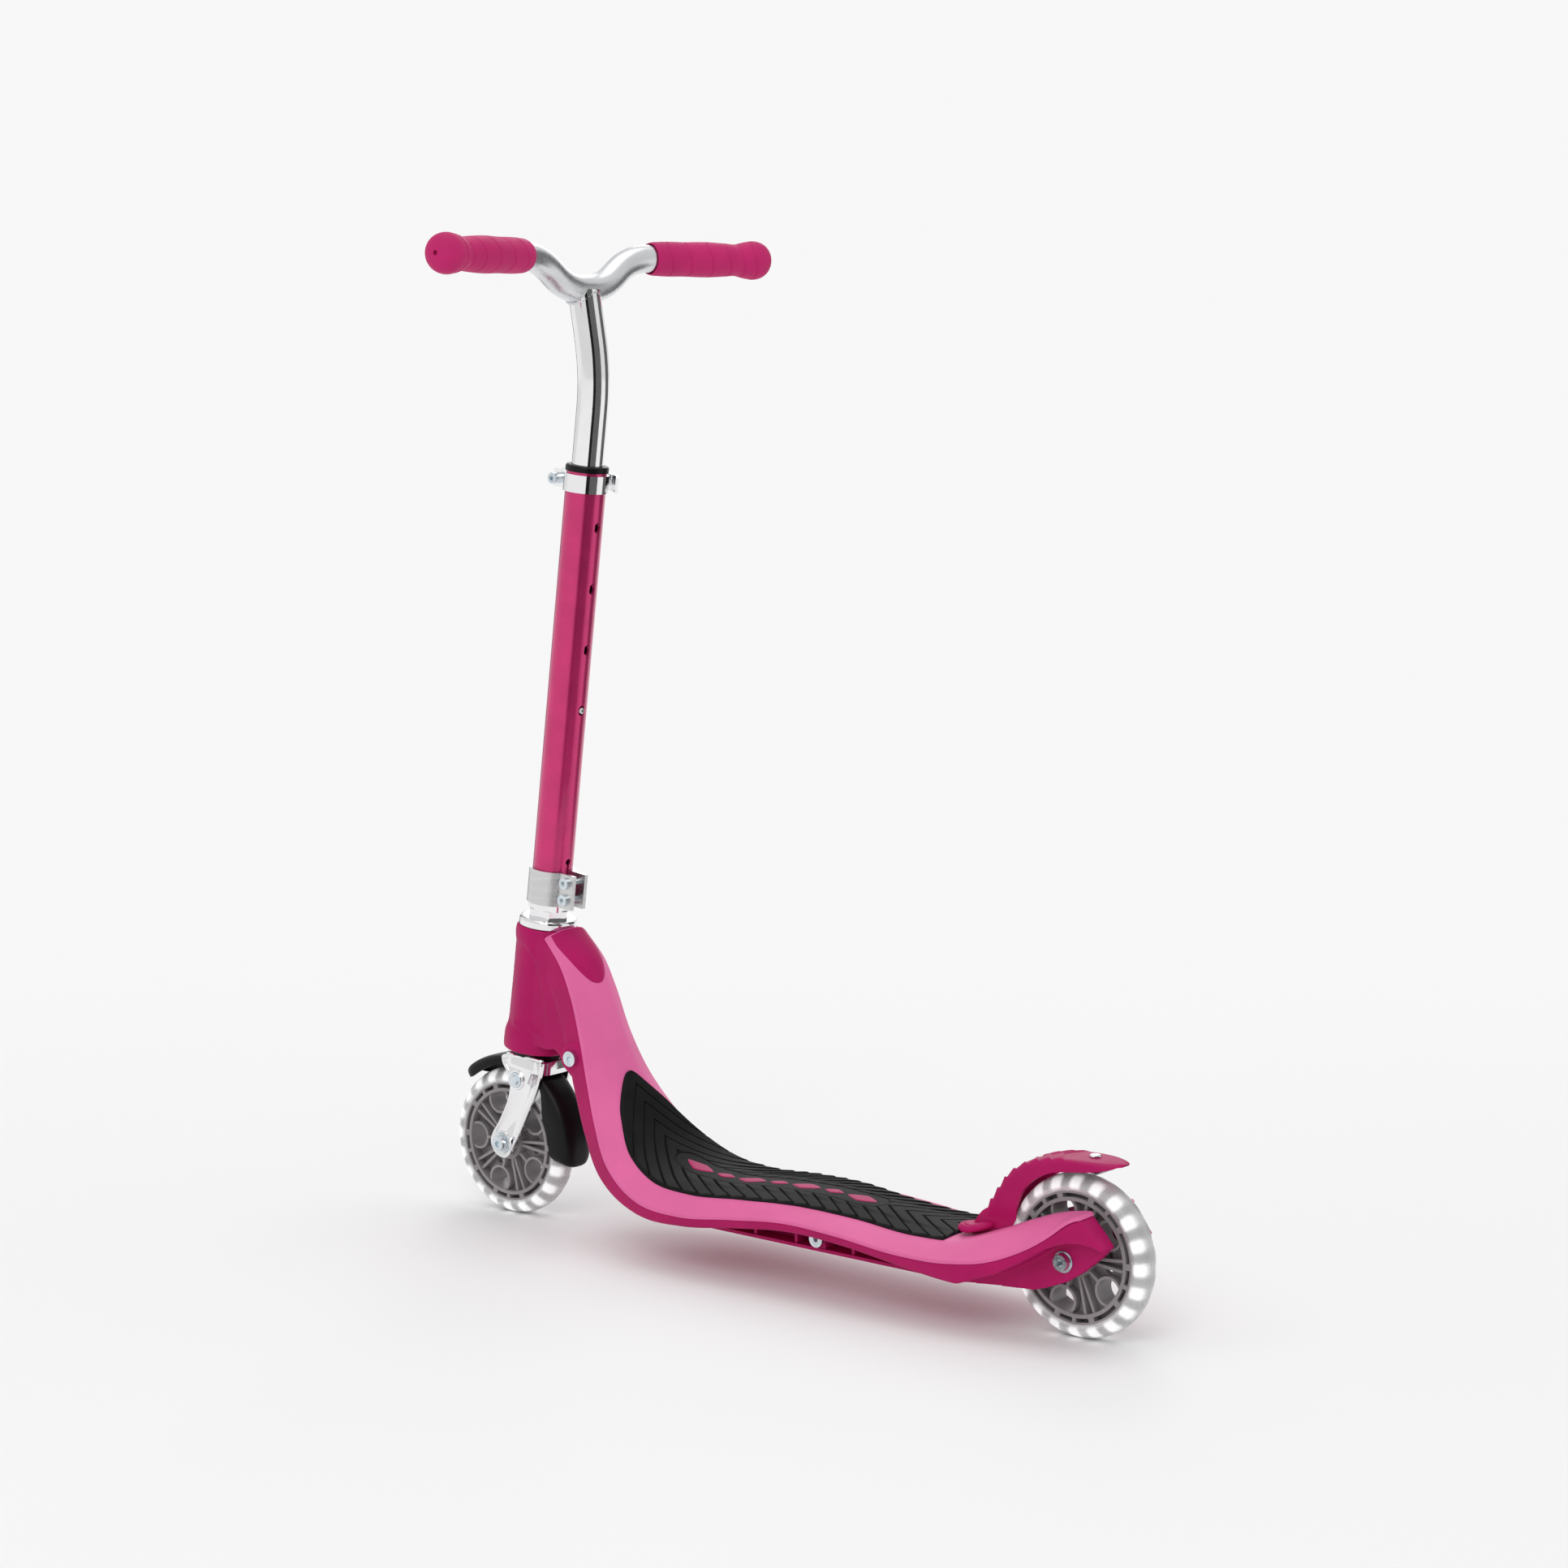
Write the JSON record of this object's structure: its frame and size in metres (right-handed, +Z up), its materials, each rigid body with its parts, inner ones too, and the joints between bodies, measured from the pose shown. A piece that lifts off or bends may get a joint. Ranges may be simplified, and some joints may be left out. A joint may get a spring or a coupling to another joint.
{
  "type": "kick scooter",
  "caption": "Child's two-wheeled kick scooter: low moulded deck and curved neck, raked height-adjustable steering column, bent handlebar with grips, clear wheels and a foot brake.",
  "frame": {"origin": "on the ground, midway between the two axles, in the mid-plane", "axes": "+X forward, +Y to the rider's left, +Z up"},
  "size_m": [0.685, 0.3818, 0.793],
  "materials": {
    "shell_dark": "moulded nylon, satin, dark magenta",
    "shell_light": "moulded, satin, light pink",
    "pad_rubber": "matt black rubber",
    "black_plastic": "satin black plastic",
    "grip_rubber": "soft magenta rubber",
    "column_paint": "metallic magenta paint, glossy",
    "polished": "bright chrome",
    "satin": "satin aluminium",
    "brushed": "brushed",
    "zinc": "zinc plated",
    "steel_grey": "plain steel",
    "bearing_steel": "ground steel",
    "hub_plastic": "smoky grey moulding",
    "tyre_clear": "clear urethane",
    "copper_coil": "wound copper"
  },
  "bodies": {
    "frame": {"frame_body": "shell_dark", "deck_skin": "shell_light", "head_cap": "shell_dark", "grip_pad": "pad_rubber", "keel_tray": "shell_dark", "inner_beam": "steel_grey", "head_tube": "steel_grey", "lower_cup": "steel_grey", "upper_cup": "steel_grey", "lower_bearing": "bearing_steel", "upper_bearing": "bearing_steel", "neck_bolt": "zinc", "keel_bolt": "zinc", "rear_axle_bolt": "zinc", "rear_axle_nut": "zinc", "rear_spacers": "zinc", "rear_magnet_core": "steel_grey", "brake_pivot_pin": "zinc", "brake_spring": "steel_grey"},
    "fork": {"fork": "polished", "steerer_tube": "steel_grey", "lower_seal": "black_plastic", "cup_washer": "polished", "adjusting_nut": "polished", "lock_nut": "polished", "front_mudguard": "black_plastic", "mudguard_screws": "polished", "front_axle_bolt": "zinc", "front_axle_nut": "zinc", "front_spacers": "zinc", "front_magnet_core": "steel_grey", "steering_column": "column_paint", "base_clamp": "brushed", "base_clamp_screws": "zinc", "clamp_band": "polished", "clamp_bolt": "zinc", "column_bush": "black_plastic"},
    "clamp_lever": {"clamp_lever": "polished"},
    "handlebar": {"upper_tube": "polished", "handlebar": "satin", "left_grip": "grip_rubber", "right_grip": "grip_rubber", "tube_guide": "black_plastic", "snap_spring": "steel_grey"},
    "snap_button": {"snap_button": "polished"},
    "front_wheel": {"front_hub": "hub_plastic", "front_tyre": "tyre_clear", "front_bearings": "bearing_steel", "front_generator_coil": "copper_coil"},
    "rear_wheel": {"rear_hub": "hub_plastic", "rear_tyre": "tyre_clear", "rear_bearings": "bearing_steel", "rear_generator_coil": "copper_coil"},
    "brake": {"brake_fender": "shell_dark", "brake_plate": "steel_grey", "brake_rivet": "polished"}
  },
  "joints": [
    {"name": "steering", "type": "hinge", "parent": "frame", "child": "fork", "pos_m": [0.25039, 0, 0.19839], "axis": [-0.1265, 0, 0.992], "range_deg": [-90, 90]},
    {"name": "front_wheel_spin", "type": "hinge", "parent": "fork", "child": "front_wheel", "pos_m": [0.282, 0, 0.0605], "axis": [0, 1, 0], "continuous": true},
    {"name": "rear_wheel_spin", "type": "hinge", "parent": "frame", "child": "rear_wheel", "pos_m": [-0.282, 0, 0.0605], "axis": [0, 1, 0], "continuous": true},
    {"name": "height", "type": "slide", "parent": "fork", "child": "handlebar", "axis": [-0.1265, 0, 0.992], "range_m": [0, 0.147], "deforming": ["snap_button"]},
    {"name": "button_press", "type": "slide", "parent": "handlebar", "child": "snap_button", "axis": [0.992, 0, 0.1265], "range_m": [0, 0.0036], "stiffness_N_per_m": 800, "deforming": ["snap_spring"]},
    {"name": "clamp_lever", "type": "hinge", "parent": "fork", "child": "clamp_lever", "pos_m": [0.22369, -0.0125, 0.60528], "axis": [-0.1265, 0, 0.992], "range_deg": [0, 150]},
    {"name": "brake_press", "type": "hinge", "parent": "frame", "child": "brake", "pos_m": [-0.204, 0, 0.058], "axis": [0, -1, 0], "range_deg": [0, 2.5], "stiffness_Nm_per_rad": 3}
  ]
}
